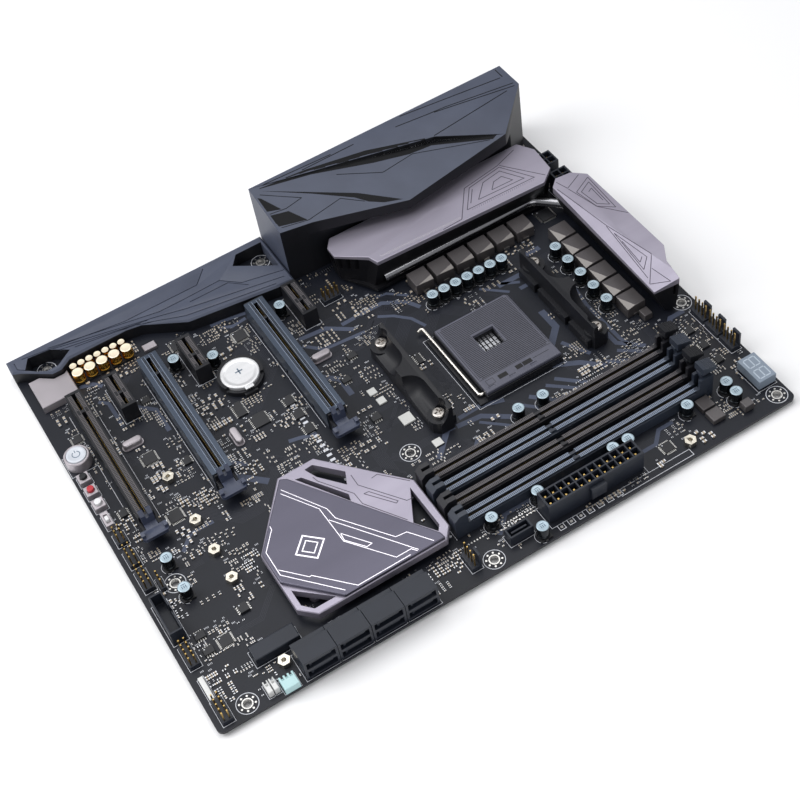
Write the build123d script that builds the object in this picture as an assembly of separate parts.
from build123d import *
import os
from math import cos, hypot, pi, sin

# ATX desktop motherboard, in millimetres, component side up.
#
# Frame: +X runs along the long side towards the processor end, +Y towards the edge with the rear
# ports and +Z away from the component side. The origin is under the middle of the whole board,
# at the height of the lowest connector pegs.
#
# Places on the board are (u, v, z): u from the expansion-slot end, v from the rear edge towards
# the front edge, z above the component face. They come from the ATX hole pattern, so a longer or
# deeper board grows at the processor end and at the front edge.

# ---- circuit board ----
BOARD_LENGTH = 304.8
BOARD_DEPTH = 243.84
BOARD_THICKNESS = 1.6
BOARD_CORNER = 3.0
CASE_HOLE = 3.96  # diameter
CASE_HOLE_FIRST_U = 16.51
CASE_HOLE_FIRST_V = 10.16
CASE_HOLE_STEP_U = 124.46  # first to second column
CASE_HOLE_FAR_U = 281.94  # first to third column
CASE_HOLE_STEP_V = 154.94  # rear row to middle row
CASE_HOLE_FRONT_V = 72.39  # middle row to front row
CASE_HOLE_OFFSET_V = 22.86  # third column's rear hole, in front of the rear row
PORT_OVERHANG = 1.2  # rear ports past the board's edge
UNDERSIDE = 2.0  # peg tips below the board's bottom face
PEG = 1.8  # locating peg diameter
PEG_CLEARANCE = 0.1  # radial

# ---- processor socket, backplate and cooler brackets ----
SOCKET_U = 206.4
SOCKET_V = 132.1
SOCKET_WIDTH = 47.6
SOCKET_DEPTH = 50.4
SOCKET_HEIGHT = 4.4
SOCKET_SHIFT_V = 4.4  # base middle in front of the cooler-hole middle
LEVER_SIDE = 4.4  # low ledge for the lever
LEDGE_HEIGHT = 1.4
SOCKET_WINDOW = 11.8
SOCKET_FIT = 0.2  # sliding cover over base
COVER_THICKNESS = 2.0
COVER_TRAVEL = 1.2
CAM_STRIP = 8.4  # part of the cover over the cam
LEVER_WIRE = 1.8
LEVER_PLAY = 0.1
LEVER_REACH = 53.5
LEVER_AXIS_Z = 3.0
COOLER_PITCH_U = 90.0
COOLER_PITCH_V = 54.0
POST = 4.5  # backplate post diameter
POST_CLEARANCE = 0.15
BACKPLATE_THICKNESS = 1.8
BACKPLATE_RIM = 7.0
BRACKET_LENGTH = 65.4
BRACKET_INNER = 40.3  # inner face from the socket's middle
BRACKET_OUTER = 50.3
BRACKET_RIM = 2.2
BRACKET_HEIGHT = 15.6
BRACKET_SCOOP = 9.0  # radius of the hollows beside the clip lug
CLIP_LUG = 5.6
SCREW_SHANK = 3.0
SCREW_HEAD = 6.6
SCREW_HEAD_HEIGHT = 2.4
BOSS_HEIGHT = 7.4
BOSS = 11.4

# ---- memory slots ----
DIMM_COUNT = 4
DIMM_FIRST_V = 187.3
DIMM_PITCH = 9.525
DIMM_START_U = 133.4
DIMM_LENGTH = 142.0
DIMM_WIDTH = 6.4
DIMM_HEIGHT = 8.0
DIMM_FIXED_END = 6.8
DIMM_FIXED_HEIGHT = 15.0
DIMM_LATCH_END = 7.6
DIMM_CHEEK_HEIGHT = 13.6
DIMM_KEY_U = 65.8  # notch from the fixed end
DIMM_CHEEK = 1.5
LATCH_PLAY = 0.3
LATCH_PIN = 2.4
LATCH_PIN_CLEARANCE = 0.05
LATCH_PIN_Z = 3.6
LATCH_TOP = 21.0
CARD_GROOVE = 1.7

# ---- expansion slots ----
SLOT_PITCH = 20.32
FIRST_SLOT_U = 142.24
SLOT_REAR_V = 42.0
SLOT_HEIGHT = 11.0
SLOT_WIDTH = 8.0
SHIELDED_WIDTH = 9.4
SHIELD_SHEET = 0.7
X16_LENGTH = 89.0
X1_LENGTH = 25.0
KEY_FROM_REAR = 14.5
KEY_BRIDGE = 1.8
GROOVE_DEPTH = 8.4
SLOT_LATCH_REACH = 11.0
SLOT_LATCH_WIDTH = 13.4
SLOT_LATCH_PIN_Z = 4.4
SLOT_EAR = 1.3

# ---- heatsinks ----
PAD_TOP = 2.0  # transistor and thermal pad together
SINK_TOP = 18.0
PLATE_THICKNESS = 2.5
PIPE = 5.0
PIPE_CLEARANCE = 0.05
PIPE_Z = 6.4
CHIPSET_SIZE = 21.0
CHIPSET_HEIGHT = 2.0
CHIPSET_SINK_UNDER = 4.0
CHIPSET_SINK_TOP = 8.4
CHIPSET_PLATE = 2.0

# ---- covers ----
IO_WALL = 2.2
BLADE_UNDER = 25.5
AUDIO_TOP = 8.0
AUDIO_WALL = 1.5

# ---- power stages, capacitors and controls ----
CHOKE = 10.4
CHOKE_HEIGHT = 7.2
CHOKE_COUNT = 6
REAR_CHOKE_FIRST_U = 200.8
REAR_CHOKE_PITCH = 12.25
REAR_CHOKE_V = 76.7
SIDE_CHOKE_U = 276.6
SIDE_CHOKE_FIRST_V = 93.6
SIDE_CHOKE_PITCH = 11.85
CAP = 6.3
CAP_HEIGHT = 8.0
BATTERY = 20.0
BATTERY_HEIGHT = 3.2
BATTERY_U = 96.0
BATTERY_V = 76.0
START_U = 7.2
START_V = 75.5
START_CAP = 10.3
START_RING = 12.9
START_RING_HEIGHT = 6.3
START_TRAVEL = 0.4
TACT_U = 5.0
TACT_FIRST_V = 87.5
TACT_PITCH = 9.1
TACT_BODY = 6.0
TACT_HEIGHT = 3.4
TACT_TRAVEL = 0.25
BUTTON_PLAY = 0.15
MODE_V = 116.4
MODE_TRAVEL = 2.0
PIN = 0.64
PIN_PITCH = 2.54

TOP = UNDERSIDE + BOARD_THICKNESS
LEFT = -BOARD_LENGTH / 2
REAR = (BOARD_DEPTH - PORT_OVERHANG) / 2
STAND = (Align.CENTER, Align.CENTER, Align.MIN)


# ---- helpers ----
def at(u, v, z=0.0):
    return Pos(LEFT + u, REAR - v, TOP + z)


def block(width, depth, height, u, v, z=0.0):
    """Box centred on (u, v), standing at height z."""
    return at(u, v, z) * Box(width, depth, height, align=STAND)


def span(u0, u1, v0, v1, z0, z1):
    return block(u1 - u0, v1 - v0, z1 - z0, (u0 + u1) / 2, (v0 + v1) / 2, z0)


def disc(diameter, height, u, v, z=0.0):
    return at(u, v, z) * Cylinder(diameter / 2, height, align=STAND)


def floor_face(points, z):
    corners = [(LEFT + u, REAR - v) for u, v in points]
    return Pos(0, 0, TOP + z) * make_face(Polyline(*corners, close=True))


def plate(points, z0, z1):
    """Flat piece with a straight-sided outline."""
    return extrude(floor_face(points, z0), z1 - z0, dir=(0, 0, 1))


def tapered(low_points, z0, high_points, z1):
    """Straight-sided piece that changes from one outline to another."""
    return loft([floor_face(low_points, z0), floor_face(high_points, z1)], ruled=True)


def under(body, a, b, c):
    """Keeps what lies under the plane through three (u, v, z) points."""
    p, q, r = (Vector(LEFT + u, REAR - v, TOP + z) for u, v, z in (a, b, c))
    up = (q - p).cross(r - p)
    if up.Z < 0:
        up = up * -1
    return split(body, bisect_by=Plane(origin=p, z_dir=up), keep=Keep.BOTTOM)


def roofed(corners, z0):
    """Column over an outline of (u, v, z) corners, closed by the plane through the first three."""
    tallest = max(z for _, _, z in corners) + 5
    column = plate([(u, v) for u, v, _ in corners], z0, tallest)
    return under(column, *corners[:3])


def pin_along_u(diameter, length, u, v, z):
    return at(u, v, z) * Rot(0, 90, 0) * Cylinder(diameter / 2, length)


def pin_along_v(diameter, length, u, v, z):
    return at(u, v, z) * Rot(90, 0, 0) * Cylinder(diameter / 2, length)


def group(pieces):
    return Compound(children=[piece for part in pieces for piece in part.solids()])


def soft_top(part, size):
    """Small chamfer round the highest face."""
    return chamfer(part.faces().sort_by(Axis.Z)[-1].edges(), size)


# ---- places shared by the board and what stands on it ----
def case_holes():
    first_u, first_v = CASE_HOLE_FIRST_U, CASE_HOLE_FIRST_V
    second_u, far_u = first_u + CASE_HOLE_STEP_U, first_u + CASE_HOLE_FAR_U
    middle_v = first_v + CASE_HOLE_STEP_V
    front_v = middle_v + CASE_HOLE_FRONT_V
    holes = [(first_u, first_v), (second_u, first_v), (far_u, first_v + CASE_HOLE_OFFSET_V)]
    holes += [(u, middle_v) for u in (first_u, second_u, far_u)]
    holes += [(u, front_v) for u in (first_u, second_u, far_u)]
    return holes


def cooler_holes():
    half_u, half_v = COOLER_PITCH_U / 2, COOLER_PITCH_V / 2
    return [(SOCKET_U + i * half_u, SOCKET_V + j * half_v) for i in (-1, 1) for j in (-1, 1)]


def dimm_v(index):
    return DIMM_FIRST_V + index * DIMM_PITCH


def dimm_pegs(index):
    return [(DIMM_START_U + 3.4, dimm_v(index)), (DIMM_START_U + DIMM_LENGTH / 2, dimm_v(index))]


def slot_u(index):
    return FIRST_SLOT_U - index * SLOT_PITCH


def slot_pegs(index, length):
    return [(slot_u(index), SLOT_REAR_V + KEY_FROM_REAR), (slot_u(index), SLOT_REAR_V + length - 4)]


X16_SLOTS = (1, 4, 6)
X1_SLOTS = (0, 3, 5)
SHIELDED = (1, 4)
ATX_U, ATX_V, ATX_LENGTH, ATX_DEPTH, ATX_HEIGHT = 197.4, 231.3, 51.6, 9.6, 12.8
SIDE_POWER_U, EPS4_V, EPS8_V, CONTACT_PITCH = 297.1, 49.3, 68.5, 4.2
PORTS = (  # name, middle u, width, height, depth
    ("audio", 166.6, 27.0, 30.0, 15.0),
    ("stack", 192.0, 13.6, 15.6, 22.0),
    ("lan", 210.6, 16.0, 28.0, 25.0),
    ("stack", 229.6, 13.6, 30.0, 22.0),
    ("stack", 247.2, 13.6, 30.0, 22.0),
    ("stack", 264.8, 13.6, 15.6, 22.0),
    ("stack", 282.0, 13.6, 15.6, 22.0),
)
PORT_LEG_V = 8.0


def port_pegs(u, width):
    return [(u + side * (width / 2 - 1.4), PORT_LEG_V) for side in (-1, 1)]


def power_pegs():
    ends = [(ATX_U + side * (ATX_LENGTH / 2 - 6), ATX_V) for side in (-1, 1)]
    return ends + [(SIDE_POWER_U, EPS8_V), (SIDE_POWER_U, EPS4_V)]


SATA_U, SATA_COUNT, SATA_PITCH, SATA_REAR_V, SATA_FRONT_V = 51.5, 4, 16.7, 228.6, 242.6


def sata_u(index):
    return SATA_U + index * SATA_PITCH


def sata_pegs():
    return [(sata_u(i), SATA_REAR_V + 3) for i in range(SATA_COUNT)]


def all_pegs():
    pegs = [p for i in range(DIMM_COUNT) for p in dimm_pegs(i)]
    pegs += [p for i in X16_SLOTS for p in slot_pegs(i, X16_LENGTH)]
    pegs += [p for i in X1_SLOTS for p in slot_pegs(i, X1_LENGTH)]
    pegs += [p for _, u, width, _, _ in PORTS for p in port_pegs(u, width)]
    return pegs + power_pegs() + sata_pegs()


def with_pegs(part, points):
    """Adds locating pegs that pass through the board and stand out below it."""
    for u, v in points:
        part += disc(PEG, TOP + 0.5, u, v, -TOP)
    return part


# ---- board, backplate, socket ----
def circuit_board():
    board = at(BOARD_LENGTH / 2, BOARD_DEPTH / 2, -BOARD_THICKNESS) * Box(
        BOARD_LENGTH, BOARD_DEPTH, BOARD_THICKNESS, align=STAND
    )
    board = fillet(board.edges().filter_by(Axis.Z), BOARD_CORNER)
    drills = [(CASE_HOLE, hole) for hole in case_holes()]
    drills += [(POST + 2 * POST_CLEARANCE, hole) for hole in cooler_holes()]
    drills += [(PEG + 2 * PEG_CLEARANCE, hole) for hole in all_pegs()]
    tools = [disc(d, BOARD_THICKNESS + 2, u, v, -BOARD_THICKNESS - 1) for d, (u, v) in drills]
    return board - tools


def cpu_backplate():
    width, depth = COOLER_PITCH_U + 2 * BACKPLATE_RIM, COOLER_PITCH_V + 2 * BACKPLATE_RIM
    low = -BOARD_THICKNESS - BACKPLATE_THICKNESS
    body = block(width, depth, BACKPLATE_THICKNESS, SOCKET_U, SOCKET_V, low)
    body = chamfer(body.edges().filter_by(Axis.Z), BACKPLATE_RIM)
    body -= block(width - 46, depth - 34, 5, SOCKET_U, SOCKET_V, low - 1)
    for u, v in cooler_holes():
        body += disc(POST, BOARD_THICKNESS, u, v, -BOARD_THICKNESS)
        body -= disc(SCREW_SHANK + 0.1, 8, u, v, low - 1)
    return body


BASE_V = SOCKET_V + SOCKET_SHIFT_V
CAM_V = BASE_V + SOCKET_DEPTH / 2 - CAM_STRIP / 2
LEVER_U = SOCKET_U - SOCKET_WIDTH / 2 + LEVER_SIDE / 2


def cpu_socket_base():
    base = block(SOCKET_WIDTH, SOCKET_DEPTH, SOCKET_HEIGHT, SOCKET_U, BASE_V)
    side = SOCKET_U - SOCKET_WIDTH / 2
    rear, front = BASE_V - SOCKET_DEPTH / 2, BASE_V + SOCKET_DEPTH / 2
    base -= span(side - 1, side + LEVER_SIDE, rear - 1, front + 1, LEDGE_HEIGHT, SOCKET_HEIGHT + 1)
    base -= block(SOCKET_WINDOW, SOCKET_WINDOW, SOCKET_HEIGHT, SOCKET_U, SOCKET_V + 0.6, 1.2)
    channel = LEVER_WIRE + 2 * LEVER_PLAY
    base -= span(side, SOCKET_U + 2, CAM_V - channel / 2, CAM_V + channel / 2,
                 LEVER_AXIS_Z - channel / 2, SOCKET_HEIGHT + 1)
    corner = SOCKET_U + SOCKET_WIDTH / 2
    return base - plate([(corner + 1, rear - 1), (corner - 3, rear - 1), (corner + 1, rear + 3)], -1, 9)


def cpu_socket_cover():
    low = SOCKET_HEIGHT + SOCKET_FIT
    left = SOCKET_U - SOCKET_WIDTH / 2 + LEVER_SIDE + 0.3
    right = SOCKET_U + SOCKET_WIDTH / 2 - 0.4
    rear, front = BASE_V - SOCKET_DEPTH / 2 + 1.2, BASE_V + SOCKET_DEPTH / 2 - 0.6
    cover = span(left, right, rear, front, low, low + COVER_THICKNESS)
    cover = soft_top(cover, 0.4)
    cover -= block(SOCKET_WINDOW, SOCKET_WINDOW, 9, SOCKET_U, SOCKET_V + 0.6, low - 1)
    pocket = low + COVER_THICKNESS - 0.4
    for offset in (-15.0, -3.0, 9.0):
        cover -= block(3.6, 1.4, 1, SOCKET_U + offset, front - 2.2, pocket)
    cover -= plate([(right + 1, rear - 1), (right - 3, rear - 1), (right + 1, rear + 3)], 0, 9)
    return cover


def cpu_socket_lever():
    cam_end = SOCKET_U - 1
    hook_u, free_v = LEVER_U - 3.4, CAM_V - LEVER_REACH
    path = FilletPolyline(
        (LEFT + cam_end, REAR - CAM_V, TOP + LEVER_AXIS_Z),
        (LEFT + LEVER_U, REAR - CAM_V, TOP + LEVER_AXIS_Z),
        (LEFT + LEVER_U, REAR - free_v, TOP + LEVER_AXIS_Z),
        (LEFT + hook_u, REAR - free_v - 1.5, TOP + LEVER_AXIS_Z),
        radius=1.3,
    )
    section = Plane(origin=path @ 0, z_dir=path % 0) * Circle(LEVER_WIRE / 2)
    return sweep(section, path=path)


def bracket(side):
    """Cooler bracket on one side of the socket: side is -1 or 1 along u."""
    def out(distance):
        return SOCKET_U + side * distance

    half = BRACKET_LENGTH / 2
    width = BRACKET_OUTER - BRACKET_INNER
    middle = (BRACKET_INNER + BRACKET_OUTER) / 2
    body = block(width, BRACKET_LENGTH, BRACKET_HEIGHT, out(middle), SOCKET_V)
    for end in (-1, 1):
        start_v = SOCKET_V + end * (CLIP_LUG / 2 + BRACKET_SCOOP)
        axis = (out(BRACKET_INNER + BRACKET_RIM + BRACKET_SCOOP), BRACKET_HEIGHT - 1.0)
        scoop = at(axis[0], start_v, axis[1]) * Sphere(BRACKET_SCOOP)
        scoop += at(axis[0], start_v + end * 20, axis[1]) * Rot(90, 0, 0) * Cylinder(BRACKET_SCOOP, 40)
        body -= scoop
        boss_v = SOCKET_V + end * COOLER_PITCH_V / 2
        outer_corner = at(out(BRACKET_OUTER), SOCKET_V + end * half, -1) * Box(6, 6, 40, align=STAND)
        body -= outer_corner
        body += disc(BOSS, BOSS_HEIGHT, out(COOLER_PITCH_U / 2), boss_v)
    flange = block(2.6, BRACKET_LENGTH - 5, 5.4, out(BRACKET_INNER - 1.2), SOCKET_V)
    for notch_v in (SOCKET_V - 14.5, SOCKET_V + 12.5):
        flange -= block(6, 3.0, 9, out(BRACKET_INNER - 1.5), notch_v, -1)
    body += flange
    for end in (-1, 1):
        boss_v = SOCKET_V + end * COOLER_PITCH_V / 2
        body -= disc(SCREW_SHANK + 0.4, 9, out(COOLER_PITCH_U / 2), boss_v, -1)
        body -= disc(SCREW_HEAD + 1.0, BRACKET_HEIGHT, out(COOLER_PITCH_U / 2), boss_v, BOSS_HEIGHT)
    return body


def bracket_screws():
    screws = []
    for u, v in cooler_holes():
        low = -BOARD_THICKNESS - BACKPLATE_THICKNESS + 0.4
        head = disc(SCREW_HEAD, SCREW_HEAD_HEIGHT, u, v, BOSS_HEIGHT)
        head = fillet(head.faces().sort_by(Axis.Z)[-1].edges(), 0.9)
        recess = block(4.2, 0.9, 2, u, v, BOSS_HEIGHT + 1.2) + block(0.9, 4.2, 2, u, v, BOSS_HEIGHT + 1.2)
        screws.append(head + disc(SCREW_SHANK, BOSS_HEIGHT - low, u, v, low) - recess)
    return group(screws)


# ---- memory ----
def dimm_slot(index):
    v = dimm_v(index)
    rail_start = DIMM_START_U + DIMM_FIXED_END
    latch_start = DIMM_START_U + DIMM_LENGTH - DIMM_LATCH_END
    half = DIMM_WIDTH / 2
    body = span(DIMM_START_U, latch_start, v - half, v + half, 0, DIMM_HEIGHT)
    body += span(DIMM_START_U, rail_start, v - half, v + half, 0, DIMM_FIXED_HEIGHT)
    body -= at(DIMM_START_U, v, DIMM_FIXED_HEIGHT) * Rot(0, 45, 0) * Box(3.4, 20, 3.4)
    groove = span(DIMM_START_U + 2.2, latch_start + 1, v - CARD_GROOVE / 2, v + CARD_GROOVE / 2,
                  DIMM_HEIGHT - 6.4, DIMM_FIXED_HEIGHT + 1)
    key_u = DIMM_START_U + DIMM_KEY_U
    groove -= span(key_u - 0.8, key_u + 0.8, v - half, v + half, 0, DIMM_HEIGHT - 1.2)
    body -= groove
    for side in (-1, 1):
        cheek_v = v + side * (half - DIMM_CHEEK / 2)
        body += block(DIMM_LATCH_END, DIMM_CHEEK, DIMM_CHEEK_HEIGHT,
                      latch_start + DIMM_LATCH_END / 2, cheek_v)
        step = half - 0.5
        body -= span(rail_start + 2, latch_start - 2, v + side * step - 0.5, v + side * step + 0.5,
                     DIMM_HEIGHT - 1.6, DIMM_HEIGHT + 1)
    pin_u = latch_start + DIMM_LATCH_END / 2
    body -= pin_along_v(LATCH_PIN + 2 * LATCH_PIN_CLEARANCE, DIMM_WIDTH + 2, pin_u, v, LATCH_PIN_Z)
    return with_pegs(body, dimm_pegs(index))


def dimm_latch(index):
    v = dimm_v(index)
    pin_u = DIMM_START_U + DIMM_LENGTH - DIMM_LATCH_END / 2
    web = DIMM_WIDTH - 2 * DIMM_CHEEK - 2 * LATCH_PLAY
    shape = [  # side view: across from the pin, height
        (-2.5, 1.6), (1.6, 1.6), (2.0, LATCH_PIN_Z + 1), (2.6, 10.0), (4.6, 16.4), (4.6, 17.0),
        (-2.8, 17.0), (-2.8, 15.2), (-1.3, 13.4), (-1.5, LATCH_PIN_Z + 1.6), (-2.5, 3.0),
    ]
    corners = [(LEFT + pin_u + x, 0, TOP + z) for x, z in shape]
    side = make_face(Polyline(*corners, close=True))
    body = Pos(0, REAR - v, 0) * extrude(side, web / 2, both=True)
    body += pin_along_v(LATCH_PIN, DIMM_WIDTH - 0.2, pin_u, v, LATCH_PIN_Z)
    pad = span(pin_u - 2.4, pin_u + 5.4, v - DIMM_WIDTH / 2, v + DIMM_WIDTH / 2, 16.6, LATCH_TOP)
    pad = under(pad, (pin_u - 2.4, v - 1, LATCH_TOP), (pin_u - 2.4, v + 1, LATCH_TOP), (pin_u + 5.4, v, 18.8))
    for rib in range(5):
        groove_u = pin_u + rib * 1.15
        pad -= span(groove_u, groove_u + 0.5, v - 9, v + 9, LATCH_TOP - 1.1 - 0.32 * rib, LATCH_TOP + 1)
    return body + pad


# ---- expansion ----
def card_slot(index, length, width):
    u = slot_u(index)
    body = block(width, length, SLOT_HEIGHT, u, SLOT_REAR_V + length / 2)
    floor = SLOT_HEIGHT - GROOVE_DEPTH
    key = SLOT_REAR_V + KEY_FROM_REAR
    ends = [(SLOT_REAR_V + 1.6, key - KEY_BRIDGE / 2), (key + KEY_BRIDGE / 2, SLOT_REAR_V + length - 1.6)]
    for start, stop in ends:
        body -= span(u - CARD_GROOVE / 2, u + CARD_GROOVE / 2, start, stop, floor, SLOT_HEIGHT + 1)
        body -= span(u - 1.5, u + 1.5, start, stop, SLOT_HEIGHT - 0.7, SLOT_HEIGHT + 1)
    return body


def x16_slot(index):
    u = slot_u(index)
    width = SHIELDED_WIDTH if index in SHIELDED else SLOT_WIDTH
    body = card_slot(index, X16_LENGTH, width)
    end = SLOT_REAR_V + X16_LENGTH
    hub = SLOT_LATCH_WIDTH / 2 - 3.6
    for side in (-1, 1):
        ear_u = u + side * (hub + LATCH_PLAY + SLOT_EAR / 2)
        body += block(SLOT_EAR, 5.4, 7.2, ear_u, end + 2.2)
    reach = 2 * (hub + LATCH_PLAY + SLOT_EAR) + 2
    pin = LATCH_PIN + 2 * LATCH_PIN_CLEARANCE
    body -= pin_along_u(pin, reach, u, end + 2.6, SLOT_LATCH_PIN_Z)
    return with_pegs(body, slot_pegs(index, X16_LENGTH))


def x16_latch(index):
    """Card retainer at the slot's front end, which tips down to let the card go."""
    u = slot_u(index)
    end = SLOT_REAR_V + X16_LENGTH
    pin_v = end + 2.6
    hub = SLOT_LATCH_WIDTH / 2 - 3.6
    shape = [  # side view: in front of the slot's end, height
        (0.4, 6.0), (0.4, 12.6), (-1.0, 14.4), (0.6, 15.4), (2.6, 13.4), (3.0, 8.0),
        (SLOT_LATCH_REACH, 7.0), (SLOT_LATCH_REACH, 5.6), (4.6, 5.2), (4.2, 2.8), (1.2, 2.8),
    ]
    corners = [(0, REAR - end - y, TOP + z) for y, z in shape]
    side_view = make_face(Polyline(*corners, close=True))
    body = Pos(LEFT + u, 0, 0) * extrude(side_view, hub, both=True)
    body += pin_along_u(LATCH_PIN, 2 * (hub + LATCH_PLAY + SLOT_EAR) - 0.2, u, pin_v, SLOT_LATCH_PIN_Z)
    wing_start = end + 5.4
    wings = span(u - SLOT_LATCH_WIDTH / 2, u + SLOT_LATCH_WIDTH / 2, wing_start, end + SLOT_LATCH_REACH,
                 5.6, 7.6)
    wings = chamfer(wings.edges().filter_by(Axis.Z), 1.2)
    rise = [
        span(u + s * (SLOT_LATCH_WIDTH / 2 - 1) - 0.9, u + s * (SLOT_LATCH_WIDTH / 2 - 1) + 0.9,
             wing_start + 1.4, end + SLOT_LATCH_REACH - 1.4, 5.6, 9.4)
        for s in (-1, 1)
    ]
    slot = block(1.6, 9, 9, u, end, 11.5)
    return body + wings + rise - slot


def x16_shield(index):
    """Folded steel sheath over the long sides and top of a slot."""
    u = slot_u(index)
    inner = SHIELDED_WIDTH / 2
    outer = inner + SHIELD_SHEET
    start, stop = SLOT_REAR_V + 1.0, SLOT_REAR_V + X16_LENGTH - 1.0
    sheath = span(u - outer, u + outer, start, stop, 0.4, SLOT_HEIGHT + SHIELD_SHEET)
    sheath -= span(u - inner, u + inner, start - 1, stop + 1, 0, SLOT_HEIGHT)
    sheath -= span(u - 1.6, u + 1.6, start + 2.4, stop - 2.4, SLOT_HEIGHT - 1, SLOT_HEIGHT + 2)
    for notch in range(3):
        notch_v = start + 16 + notch * 27
        sheath -= span(u - 9, u + 9, notch_v, notch_v + 2.0, -1, 3.0)
    return sheath


def x1_slots():
    slots = []
    for index in X1_SLOTS:
        body = card_slot(index, X1_LENGTH, SLOT_WIDTH)
        slots.append(with_pegs(body, slot_pegs(index, X1_LENGTH)))
    return group(slots)


# ---- heatsinks ----
REAR_PLATE = [
    (167.7, 41.9), (167.6, 49.3), (181.3, 61.1), (183.2, 67.2), (282.0, 70.8), (290.6, 63.6),
    (292.0, 46.9), (286.6, 37.4), (172.0, 36.0),
]
REAR_FOOT = [
    (169.0, 42.2), (169.0, 49.0), (177.6, 60.2), (180.0, 65.0), (284.0, 65.2), (289.2, 62.0),
    (290.2, 47.8), (285.4, 38.4), (173.0, 36.8),
]
SIDE_PLATE = [
    (282.4, 78.0), (287.2, 73.4), (295.8, 74.4), (302.2, 80.6), (302.4, 145.2), (297.0, 154.6),
    (295.2, 167.2), (281.2, 165.9),
]
SIDE_FOOT = [
    (288.0, 78.6), (290.6, 75.0), (295.2, 75.4), (301.2, 81.4), (301.4, 144.8), (296.4, 154.0),
    (293.8, 166.8), (288.0, 166.2),
]


def heatpipe(clearance=0.0):
    """Round pipe along the front of the rear heatsink that turns into the side heatsink."""
    z = TOP + PIPE_Z
    run_v = 65.6
    side_u = 289.2
    path = FilletPolyline(
        (LEFT + 186.0, REAR - run_v, z),
        (LEFT + 277.0, REAR - run_v, z),
        (LEFT + side_u, REAR - run_v - 12.9, z),
        (LEFT + side_u, REAR - 158.0, z),
        radius=9.0,
    )
    section = Plane(origin=path @ 0, z_dir=path % 0) * Circle(PIPE / 2 + clearance)
    return sweep(section, path=path)


def vrm_heatsink_rear():
    body = tapered(REAR_FOOT, PAD_TOP, REAR_PLATE, SINK_TOP)
    ledge = [(u, v + 3.4) if v > 60 else (u, v) for u, v in REAR_FOOT]
    body += plate(ledge, PAD_TOP, 3.6)
    for fin in range(5):
        body -= span(150, 300, 44.0 + 3.0 * fin, 45.4 + 3.0 * fin, 11.0, SINK_TOP + 1)
    return body - heatpipe(PIPE_CLEARANCE)


def vrm_plate_rear():
    sheet = plate(REAR_PLATE, SINK_TOP, SINK_TOP + PLATE_THICKNESS)
    crease_z = SINK_TOP + PLATE_THICKNESS
    sheet = under(sheet, (181.3, 61.1, crease_z), (286.6, 38.6, crease_z), (172.0, 36.0, crease_z - 1.2))
    return sheet


def vrm_heatsink_side():
    body = tapered(SIDE_FOOT, PAD_TOP, SIDE_PLATE, SINK_TOP)
    for fin in range(3):
        body -= span(292.0 + 3.0 * fin, 293.2 + 3.0 * fin, 60, 175, 12.0, SINK_TOP + 1)
    body -= span(291.6, 304.0, 70.0, EPS8_V + 9.5, -1, ATX_HEIGHT + 0.5)  # room for the power socket
    return body - heatpipe(PIPE_CLEARANCE)


def vrm_plate_side():
    high = SINK_TOP + PLATE_THICKNESS + 1.5
    sheet = plate(SIDE_PLATE, SINK_TOP, high)
    return under(sheet, (282.5, 78.0, high), (293.8, 146.8, high), (281.4, 166.0, high - 2.4))


def stage_u(index):
    return REAR_CHOKE_FIRST_U + index * REAR_CHOKE_PITCH


def stage_v(index):
    return SIDE_CHOKE_FIRST_V + index * SIDE_CHOKE_PITCH


def mosfets():
    rear = [block(6.0, 5.0, 1.0, stage_u(i), 58.0) for i in range(CHOKE_COUNT)]
    side = [block(3.6, 6.0, 1.0, 296.6, stage_v(i) - 2) for i in range(CHOKE_COUNT)]
    return group(rear + side)


def thermal_pads():
    rear_length = REAR_CHOKE_PITCH * (CHOKE_COUNT - 1) + 8
    side_length = SIDE_CHOKE_PITCH * (CHOKE_COUNT - 1) + 8
    rear = block(rear_length, 5.0, PAD_TOP - 1.0, stage_u(2.5), 58.0, 1.0)
    side = block(3.6, side_length, PAD_TOP - 1.0, 296.6, stage_v(2.5) - 2, 1.0)
    return group([rear, side])


def choke(u, v):
    low = block(CHOKE - 1.4, CHOKE - 1.4, 1.6, u, v)
    cube = block(CHOKE, CHOKE, CHOKE_HEIGHT - 1.6, u, v, 1.6)
    cube = fillet(cube.edges().filter_by(Axis.Z), 1.2)
    return low + soft_top(cube, 0.5)


def chokes():
    rear = [choke(stage_u(i), REAR_CHOKE_V) for i in range(CHOKE_COUNT)]
    side = [choke(SIDE_CHOKE_U, stage_v(i)) for i in range(CHOKE_COUNT)]
    small = [
        soft_top(block(7.0, 7.0, 3.0, 267.4, 223.4), 0.3),
        soft_top(block(7.0, 6.8, 3.0, 267.4, 231.4), 0.3),
        soft_top(block(4.6, 5.2, 4.0, 279.0, 162.0), 0.3),
        soft_top(block(5.0, 4.6, 4.4, 282.4, 235.4), 0.3),
    ]
    return group(rear + side + small)


CHIPSET_U, CHIPSET_V = 92.5, 186.0
CHIPSET_OUTLINE = [
    (80.4, 147.0), (99.8, 146.6), (132.2, 185.0), (132.2, 215.6), (127.4, 221.4), (61.6, 221.9),
    (54.4, 214.5), (54.4, 180.4),
]
CHIPSET_WINDOWS = [
    [(128.3, 187.8), (128.6, 212.6), (126.4, 215.4), (119.6, 205.2)],
    [(93.3, 150.3), (97.6, 149.9), (108.4, 162.4), (105.4, 169.2), (96.0, 157.2)],
    [(87.0, 152.6), (90.0, 153.4), (103.4, 174.4), (102.4, 178.2)],
    [(57.2, 204.6), (57.2, 213.6), (61.4, 218.4), (72.0, 218.4)],
]
CHIPSET_UPPER = [
    (80.6, 149.4), (83.8, 151.2), (126.4, 217.8), (126.8, 221.0), (75.4, 221.5), (54.8, 199.2),
    (54.8, 181.3),
]


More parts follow.
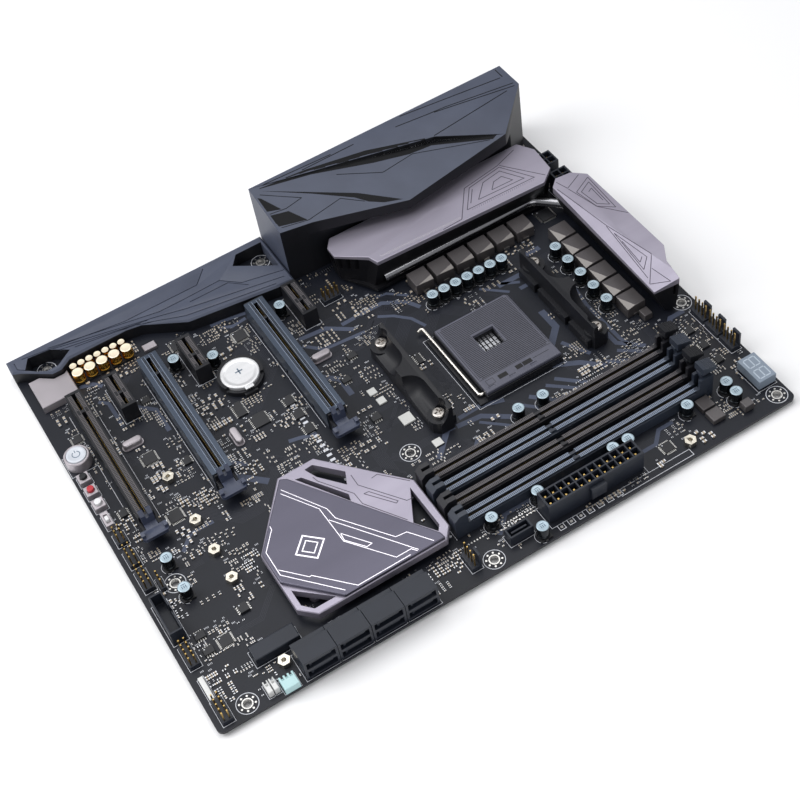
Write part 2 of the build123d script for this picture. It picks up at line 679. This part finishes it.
def chipset():
    package = block(CHIPSET_SIZE, CHIPSET_SIZE, 1.2, CHIPSET_U, CHIPSET_V)
    return package + block(9.0, 9.0, CHIPSET_HEIGHT - 1.2, CHIPSET_U, CHIPSET_V, 1.2)


def chipset_heatsink_base():
    body = soft_top(plate(CHIPSET_OUTLINE, CHIPSET_SINK_UNDER, CHIPSET_SINK_TOP), 0.5)
    for window in CHIPSET_WINDOWS:
        body -= plate(window, CHIPSET_SINK_UNDER - 1, CHIPSET_SINK_TOP + 1)
    body += block(CHIPSET_SIZE, CHIPSET_SIZE, 3.0, CHIPSET_U, CHIPSET_V, CHIPSET_HEIGHT)
    for u, v in ((66.0, 208.0), (112.0, 186.0)):
        body += disc(6.0, CHIPSET_SINK_UNDER + 1, u, v)
    return body


def chipset_heatsink_plate():
    upper = plate(CHIPSET_UPPER, CHIPSET_SINK_TOP, CHIPSET_SINK_TOP + CHIPSET_PLATE)
    return soft_top(upper, 0.4)


# ---- covers ----
IO_CORNERS = {  # (u, v, z)
    "rear_left": (148.0, 0.0, 41.2),
    "rear_right": (302.1, 0.0, 41.2),
    "end_right": (302.9, 17.6, 40.0),
    "ridge": (245.6, 24.4, 39.6),
    "tip_right": (279.5, 39.4, 33.0),
    "blade": (214.8, 48.7, 31.0),
    "heel": (166.3, 33.9, 33.0),
    "end_left": (148.0, 32.8, 35.4),
}
IO_FRONT_WALL_V = 33.6


def io_mass(lower=0.0):
    """Outer form of the cover as columns under its facets, or the same form let down by a wall."""
    p = {name: (u, v, z - lower) for name, (u, v, z) in IO_CORNERS.items()}
    low = -1.0 if lower else 0.0
    middle = under(
        plate([p[n][:2] for n in ("rear_left", "rear_right", "end_right", "tip_right", "blade")], low, 50),
        p["rear_left"], p["tip_right"], p["blade"],
    )
    upper = roofed([p[n] for n in ("rear_left", "rear_right", "end_right", "ridge")], low)
    right = roofed([p[n] for n in ("end_right", "tip_right", "ridge")], low)
    left = roofed([p[n] for n in ("rear_left", "blade", "heel")], low)
    end = roofed([p[n] for n in ("rear_left", "heel", "end_left")], low)
    return middle + upper + right + left + end


def io_cover():
    outer = io_mass()
    blade_under = [(140, IO_FRONT_WALL_V), (286.4, IO_FRONT_WALL_V), (279.0, 60), (140, 60)]
    outer -= plate(blade_under, -5, BLADE_UNDER)
    inside = [
        (150.2, -1), (299.9, -1), (300.5, 16.8), (278.6, 36.9), (214.8, 46.2), (167.0, 31.6), (150.2, 30.6),
    ]
    hollow = io_mass(IO_WALL) & plate(inside, -5, 50)
    front_wall = plate([(149, IO_FRONT_WALL_V - IO_WALL), (286, IO_FRONT_WALL_V - IO_WALL),
                        (286, IO_FRONT_WALL_V), (149, IO_FRONT_WALL_V)], 0, 45)
    rear_mouth = span(150.2, 299.9, -2, 3, -1, 36.0)
    return (outer - hollow - rear_mouth) + (front_wall & outer)


AUDIO_OUTLINE = [
    (0.0, 0.0), (147.4, 0.0), (147.4, 39.6), (138.4, 38.9), (112.4, 35.4), (89.4, 31.9), (68.4, 18.9),
    (60.4, 17.4), (28.4, 17.4), (22.4, 21.4), (17.4, 21.4), (4.4, 11.4), (0.0, 9.2),
]
AUDIO_WINDOWS = [
    [(6.4, 11.6), (10.6, 4.6), (22.4, 6.0), (31.0, 12.4), (22.0, 18.6), (15.6, 18.6)],
    [(130.4, 4.9), (145.4, 4.9), (145.4, 26.0), (125.4, 11.4)],
]


def audio_cover():
    """Low moulded cover along the rear edge, open over the two case holes it surrounds."""
    outer = soft_top(plate(AUDIO_OUTLINE, 0, AUDIO_TOP), 1.0)
    cavity = offset(floor_face(AUDIO_OUTLINE, -1), -AUDIO_WALL, kind=Kind.INTERSECTION)
    cavity = extrude(cavity, AUDIO_TOP - AUDIO_WALL + 1, dir=(0, 0, 1))
    for window in AUDIO_WINDOWS:
        rim = extrude(offset(floor_face(window, -2), 1.2, kind=Kind.INTERSECTION), 12, dir=(0, 0, 1))
        cavity -= rim
        outer -= plate(window, -1, AUDIO_TOP + 1)
    return outer - cavity


# ---- rear ports ----
def port_box(name):
    boxes = []
    for kind, u, width, height, depth in PORTS:
        if kind == name:
            body = span(u - width / 2, u + width / 2, -PORT_OVERHANG, depth, 0, height)
            boxes.append((body, u, width, height))
    return boxes


def usb_stacks():
    stacks = []
    for body, u, width, height in port_box("stack"):
        for row in range(int(height // 7.4)):
            low = 1.2 + row * 7.3
            body -= span(u - 6.1, u + 6.1, -PORT_OVERHANG - 1, 11, low, low + 5.4)
            body += span(u - 5.4, u + 5.4, -PORT_OVERHANG + 1, 11.5, low + 2.9, low + 4.7)
        stacks.append(with_pegs(body, port_pegs(u, width)))
    return group(stacks)


def lan_port():
    body, u, width, height = port_box("lan")[0]
    for row in range(2):
        low = 1.2 + row * 6.6
        body -= span(u - 6.1, u + 6.1, -PORT_OVERHANG - 1, 11, low, low + 5.0)
        body += span(u - 5.4, u + 5.4, -PORT_OVERHANG + 1, 11.5, low + 2.6, low + 4.4)
    body -= span(u - 5.9, u + 5.9, -PORT_OVERHANG - 1, 13, 16.0, 24.0)
    body -= span(u - 3.2, u + 3.2, -PORT_OVERHANG - 1, 10, 24.0, 26.0)
    return with_pegs(body, port_pegs(u, width))


def audio_jacks():
    body, u, width, height = port_box("audio")[0]
    front = -PORT_OVERHANG
    for column in (-1, 1):
        for row in range(3):
            jack_z = 5.0 + row * 10.0
            jack_u = u + column * 6.6
            body += pin_along_v(9.0, 1.6, jack_u, front, jack_z)
            body -= pin_along_v(3.6, 26.0, jack_u, front, jack_z)
    return with_pegs(body, port_pegs(u, width))


# ---- storage, power and headers ----
def sata_ports():
    ports = []
    for index in range(SATA_COUNT):
        u = sata_u(index)
        half = SATA_PITCH / 2 - 0.1
        body = span(u - half, u + half, SATA_REAR_V, SATA_FRONT_V, 0, 12.8)
        body -= span(u - 20, u + 20, SATA_REAR_V - 1, SATA_REAR_V + 4.2, 9.4, 14)
        for low in (1.2, 7.4):
            body -= span(u - 7.0, u + 7.0, SATA_FRONT_V - 9, SATA_FRONT_V + 1, low, low + 4.2)
            body += span(u - 5.4, u + 5.4, SATA_FRONT_V - 9.5, SATA_FRONT_V - 1, low + 1.6, low + 2.8)
            body += span(u - 5.4, u - 4.2, SATA_FRONT_V - 9.5, SATA_FRONT_V - 1, low + 0.4, low + 2.8)
        ports.append(with_pegs(body, [sata_pegs()[index]]))
    return group(ports)


def socket_cells(u, v, across, along, pitch):
    """Round-cornered wells of a power socket."""
    cells = []
    for i in range(across):
        for j in range(along):
            cell_u = u + (i - (across - 1) / 2) * pitch
            cell_v = v + (j - (along - 1) / 2) * pitch
            cells.append(block(3.5, 3.5, 11.0, cell_u, cell_v, 2.6))
    return cells


def power_sockets():
    atx = block(ATX_LENGTH, ATX_DEPTH, ATX_HEIGHT, ATX_U, ATX_V)
    atx += block(8.0, 2.2, 7.0, ATX_U, ATX_V + ATX_DEPTH / 2 + 1.0, 3.0)
    atx -= socket_cells(ATX_U, ATX_V, 12, 2, CONTACT_PITCH)
    atx = with_pegs(atx, power_pegs()[:2])
    sockets = [atx]
    for v, along, peg in ((EPS8_V, 4, 2), (EPS4_V, 2, 3)):
        body = block(ATX_DEPTH, along * CONTACT_PITCH + 1.2, ATX_HEIGHT, SIDE_POWER_U, v)
        body += block(1.4, 4.6, 7.0, SIDE_POWER_U + ATX_DEPTH / 2 + 0.6, v, 3.0)
        body -= socket_cells(SIDE_POWER_U, v, 2, along, CONTACT_PITCH)
        sockets.append(with_pegs(body, [power_pegs()[peg]]))
    return group(sockets)


def front_usb_headers():
    tall = span(2.4, 9.0, 171.2, 194.2, 0, 9.2)
    tall -= span(3.3, 8.1, 172.2, 193.2, 1.6, 10)
    tall -= span(8.0, 10, 180.0, 184.4, 4.0, 10)
    small = span(151.0, 163.2, 230.4, 236.2, 0, 6.0)
    small -= span(152.0, 162.2, 231.4, 235.2, 1.4, 7)
    small += span(153.0, 161.2, 232.8, 233.8, 0.5, 5.4)
    return group([tall, small])


FAN_HEADERS = [(300.5, 177.9), (300.5, 188.9), (300.5, 199.9), (132.0, 232.8)]
PIN_BLOCKS = [  # middle u, middle v, pins across u, pins along v
    (5.6, 128.8, 2, 3), (5.6, 142.0, 2, 4), (5.6, 156.4, 2, 5), (5.6, 203.4, 2, 5),
    (5.9, 235.0, 2, 5), (11.0, 162.4, 1, 3), (158.8, 56.0, 4, 2),
]
STRIP_SOCKET = (4.8, 222.3)
SENSOR_SOCKETS = [(27.0, 237.6), (29.9, 237.6)]
LIGHT_SOCKET = (36.0, 240.1)


def pin_headers():
    bases = []
    for u, v in FAN_HEADERS:
        bases.append(block(5.0, 10.2, 2.6, u, v) + block(1.2, 5.0, 10.6, u + 1.9, v + 2.6))
    for u, v, across, along in PIN_BLOCKS:
        bases.append(block(across * PIN_PITCH, along * PIN_PITCH, 2.5, u, v))
    bases.append(soft_top(block(2.4, 12.6, 2.8, *STRIP_SOCKET), 0.3))
    for u, v in SENSOR_SOCKETS:
        shell = soft_top(block(2.4, 6.4, 4.0, u, v), 0.3)
        bases.append(shell - block(1.2, 3.4, 4, u, v - 1.9, 1.4))
    u, v = LIGHT_SOCKET
    shell = soft_top(block(7.2, 7.0, 4.0, u, v), 0.3)
    for i in (-1, 0, 1):
        shell -= block(1.1, 3.0, 4, u + 2.0 * i, v - 2.8, 1.6)
    bases.append(shell)
    return group(bases)


def header_pins():
    pins = []
    for u, v in FAN_HEADERS:
        for i in range(4):
            pins.append(block(PIN, PIN, 8.6, u - 0.4, v + (i - 1.5) * PIN_PITCH, 2.6))
    for u, v, across, along in PIN_BLOCKS:
        for i in range(across):
            for j in range(along):
                pin_u = u + (i - (across - 1) / 2) * PIN_PITCH
                pin_v = v + (j - (along - 1) / 2) * PIN_PITCH
                pins.append(block(PIN, PIN, 6.0, pin_u, pin_v, 2.5))
    return group(pins)


M2_U = 39.2
M2_SEAT_V = 220.8  # where a storage card stops in the socket
M2_CARDS = (42, 60, 80, 110)  # standard card lengths
M2_SCREW = 2.0


def m2_socket():
    rear, front = M2_SEAT_V - 4.2, M2_SEAT_V + 3.8
    body = span(M2_U - 11, M2_U + 11, rear, front, 0, 5.4)
    body -= span(M2_U - 10, M2_U + 10, rear - 1, M2_SEAT_V, 2.2, 3.6)
    return soft_top(body, 0.4)


def standoffs():
    places = [(M2_U, M2_SEAT_V - length) for length in M2_CARDS] + [(39.0, 229.6), (249.0, 236.6)]
    nuts = []
    for u, v in places:
        hexagon = at(u, v, 0) * extrude(RegularPolygon(3.1, 6), 3.0)
        nuts.append(hexagon - disc(M2_SCREW, 4, u, v, 0.8))
    return group(nuts)


def led_display():
    body = span(293.0, 302.8, 214.8, 231.2, 1.0, 6.4)
    legs = [span(293.8, 302.0, v, v + 0.8, 0, 1.0) for v in (216.0, 229.2)]
    return body + legs


# ---- capacitors, battery, chips ----
CAP_ROWS = [  # first u, first v, step u, step v, count
    (199.2, 91.7, 6.9, 0, 7),
    (267.1, 101.6, 0, 11.1, 5),
    (193.8, 177.9, 13.8, 0, 2),
    (149.9, 222.4, 24.7, 0, 2),
    (216.0, 222.4, 8.4, 0, 2),
    (18.4, 155.6, 0, 18.9, 2),
    (72.1, 50.0, 17.4, 9.8, 2),
]
SINGLE_CAPS = [(132.7, 50.3), (257.9, 222.4), (165.7, 239.6), (280.8, 222.0), (280.8, 229.2)]


def cap_places():
    places = []
    for u, v, step_u, step_v, count in CAP_ROWS:
        places += [(u + i * step_u, v + i * step_v) for i in range(count)]
    return places + SINGLE_CAPS


def can_capacitor(diameter, height, u, v):
    base = block(diameter, diameter, 1.0, u, v)
    base = chamfer(base.edges().filter_by(Axis.Z), 0.8)
    can = disc(diameter - 0.2, height - 1.0, u, v, 1.0)
    return base + fillet(can.faces().sort_by(Axis.Z)[-1].edges(), 0.35)


def polymer_capacitors():
    return group([can_capacitor(CAP, CAP_HEIGHT, u, v) for u, v in cap_places()])


def audio_capacitors():
    large = [can_capacitor(6.2, 7.0, 28.4 + i * 6.75, 27.6) for i in range(5)]
    small = [can_capacitor(4.1, 5.4, 28.2 + i * 4.5, 20.9) for i in range(7)]
    return group(large + small)


def battery_holder():
    ring = disc(BATTERY + 3.4, 4.6, BATTERY_U, BATTERY_V)
    ring += block(7.0, 25.4, 2.2, BATTERY_U, BATTERY_V)
    ring -= disc(BATTERY + 0.3, 6, BATTERY_U, BATTERY_V, 1.8)
    return ring - span(BATTERY_U - 20, BATTERY_U + 20, BATTERY_V + 5, BATTERY_V + 14, 3.0, 9)


def battery():
    cell = disc(BATTERY, BATTERY_HEIGHT, BATTERY_U, BATTERY_V, 1.8)
    return fillet(cell.edges().filter_by(GeomType.CIRCLE), 0.5)


CHIPS = [  # middle u, middle v, width along u, depth along v, height
    (36.4, 94.0, 7.0, 7.0, 1.0), (86.0, 93.4, 5.0, 9.4, 1.2), (91.4, 105.0, 8.0, 8.4, 1.0),
    (32.4, 132.0, 7.0, 7.0, 1.0), (13.9, 196.4, 5.0, 4.0, 1.4), (13.9, 205.4, 5.0, 4.0, 1.4),
    (22.4, 205.0, 6.0, 6.0, 0.9), (36.4, 195.0, 4.6, 5.0, 1.6), (79.0, 36.4, 7.0, 7.0, 1.0),
    (138.0, 108.6, 4.6, 4.0, 1.6), (150.0, 147.0, 6.4, 6.4, 1.0), (144.6, 122.8, 4.2, 4.2, 1.0),
    (145.6, 130.2, 4.2, 4.2, 1.0), (154.6, 168.0, 4.6, 4.6, 1.0), (138.2, 137.4, 5.0, 4.6, 1.4),
    (279.6, 73.4, 8.0, 8.0, 1.0), (290.0, 182.0, 4.0, 5.0, 1.4), (290.0, 193.4, 4.0, 5.0, 1.4),
    (290.0, 204.6, 4.0, 5.0, 1.4), (239.0, 232.6, 5.4, 5.4, 1.0), (108.6, 103.0, 5.0, 6.0, 1.2),
    (108.6, 113.0, 5.0, 6.0, 1.2), (108.6, 124.0, 5.0, 6.0, 1.2), (148.0, 96.4, 5.0, 4.0, 1.2),
    (50.0, 60.0, 5.0, 4.0, 1.2), (108.0, 50.4, 7.0, 7.0, 1.0), (12.6, 116.0, 4.0, 5.0, 1.4),
    (174.0, 118.0, 3.0, 7.0, 1.0), (11.6, 62.0, 5.0, 5.0, 1.0), (51.0, 106.0, 4.0, 5.0, 1.2),
]


def chips():
    return group([soft_top(block(w, d, h, u, v), 0.15) for u, v, w, d, h in CHIPS])


def crystal_can(u, v, along_u):
    width, depth = (10.0, 3.8) if along_u else (3.8, 10.0)
    can = block(width, depth, 3.0, u, v, 0.5)
    can = fillet(can.edges().filter_by(Axis.Z), 1.8)
    flange = fillet(block(width + 1, depth + 1, 0.5, u, v).edges().filter_by(Axis.Z), 2.2)
    return soft_top(can, 0.4) + flange


def metal_cans():
    outline = [(4.9, 17.0), (10.9, 17.0), (17.0, 22.0), (22.7, 22.0), (24.6, 20.6), (24.6, 36.8), (4.9, 36.8)]
    audio = soft_top(plate(outline, 0, 4.6), 0.4)
    oscillator = soft_top(span(63.2, 70.2, 26.8, 31.2, 0, 1.8), 0.3)
    crystals = [crystal_can(33.4, 81.4, True), crystal_can(77.2, 108.2, False), crystal_can(135.2, 88.4, True)]
    return group([audio, oscillator, *crystals])


# ---- controls ----
def switch_housings():
    start = soft_top(disc(START_RING, START_RING_HEIGHT, START_U, START_V), 0.4)
    start -= disc(START_CAP + 2 * BUTTON_PLAY, 9, START_U, START_V, 2.4)
    housings = [start]
    for index in range(3):
        v = TACT_FIRST_V + index * TACT_PITCH
        body = soft_top(block(TACT_BODY, TACT_BODY, TACT_HEIGHT, TACT_U, v), 0.3)
        housings.append(body - disc(3.5 + 2 * BUTTON_PLAY, 9, TACT_U, v, 1.4))
    mode = block(3.8, 8.8, 3.4, 4.6, MODE_V)
    housings.append(mode - block(1.6 + 2 * BUTTON_PLAY, 5.2, 4, 4.6, MODE_V, 1.8))
    return group(housings)


def start_button():
    gap = START_TRAVEL + 0.1
    cap = disc(START_CAP, START_RING_HEIGHT - 2.3, START_U, START_V, 2.4 + gap)
    return fillet(cap.faces().sort_by(Axis.Z)[-1].edges(), 0.7)


def tact_button(index):
    v = TACT_FIRST_V + index * TACT_PITCH
    cap = disc(3.5, 3.2, TACT_U, v, 1.4 + TACT_TRAVEL + 0.1)
    return fillet(cap.faces().sort_by(Axis.Z)[-1].edges(), 0.3)


def mode_slider():
    rest_v = MODE_V + MODE_TRAVEL / 2
    return block(1.6, 2.6, 3.2, 4.6, rest_v, 1.95)


parts = {
    "circuit_board": circuit_board(),
    "cpu_backplate": cpu_backplate(),
    "cpu_socket_base": cpu_socket_base(),
    "cpu_socket_cover": cpu_socket_cover(),
    "cpu_socket_lever": cpu_socket_lever(),
    "cooler_bracket_left": bracket(-1),
    "cooler_bracket_right": bracket(1),
    "bracket_screws": bracket_screws(),
    "pcie_shields": group([x16_shield(index) for index in SHIELDED]),
    "pcie_x1_slots": x1_slots(),
    "heatpipe": heatpipe(),
    "vrm_heatsink_rear": vrm_heatsink_rear(),
    "vrm_plate_rear": vrm_plate_rear(),
    "vrm_heatsink_side": vrm_heatsink_side(),
    "vrm_plate_side": vrm_plate_side(),
    "mosfets": mosfets(),
    "thermal_pads": thermal_pads(),
    "chokes": chokes(),
    "chipset": chipset(),
    "chipset_heatsink_base": chipset_heatsink_base(),
    "chipset_heatsink_plate": chipset_heatsink_plate(),
    "io_cover": io_cover(),
    "audio_cover": audio_cover(),
    "usb_stacks": usb_stacks(),
    "lan_port": lan_port(),
    "audio_jacks": audio_jacks(),
    "sata_ports": sata_ports(),
    "power_sockets": power_sockets(),
    "front_usb_headers": front_usb_headers(),
    "pin_headers": pin_headers(),
    "header_pins": header_pins(),
    "m2_socket": m2_socket(),
    "standoffs": standoffs(),
    "led_display": led_display(),
    "polymer_capacitors": polymer_capacitors(),
    "audio_capacitors": audio_capacitors(),
    "battery_holder": battery_holder(),
    "battery": battery(),
    "chips": chips(),
    "metal_cans": metal_cans(),
    "switch_housings": switch_housings(),
    "start_button": start_button(),
    "mode_slider": mode_slider(),
}
for number in range(DIMM_COUNT):
    parts[f"dimm_slot_{number + 1}"] = dimm_slot(number)
    parts[f"dimm_latch_{number + 1}"] = dimm_latch(number)
for number, slot in enumerate(X16_SLOTS, 1):
    parts[f"pcie_x16_slot_{number}"] = x16_slot(slot)
    parts[f"pcie_x16_latch_{number}"] = x16_latch(slot)
for number, name in enumerate(("reset", "recovery", "memory")):
    parts[f"{name}_button"] = tact_button(number)

os.makedirs("parts", exist_ok=True)
for name, part in parts.items():
    export_step(part, f"parts/{name}.step")
print(len(parts), "nodes")
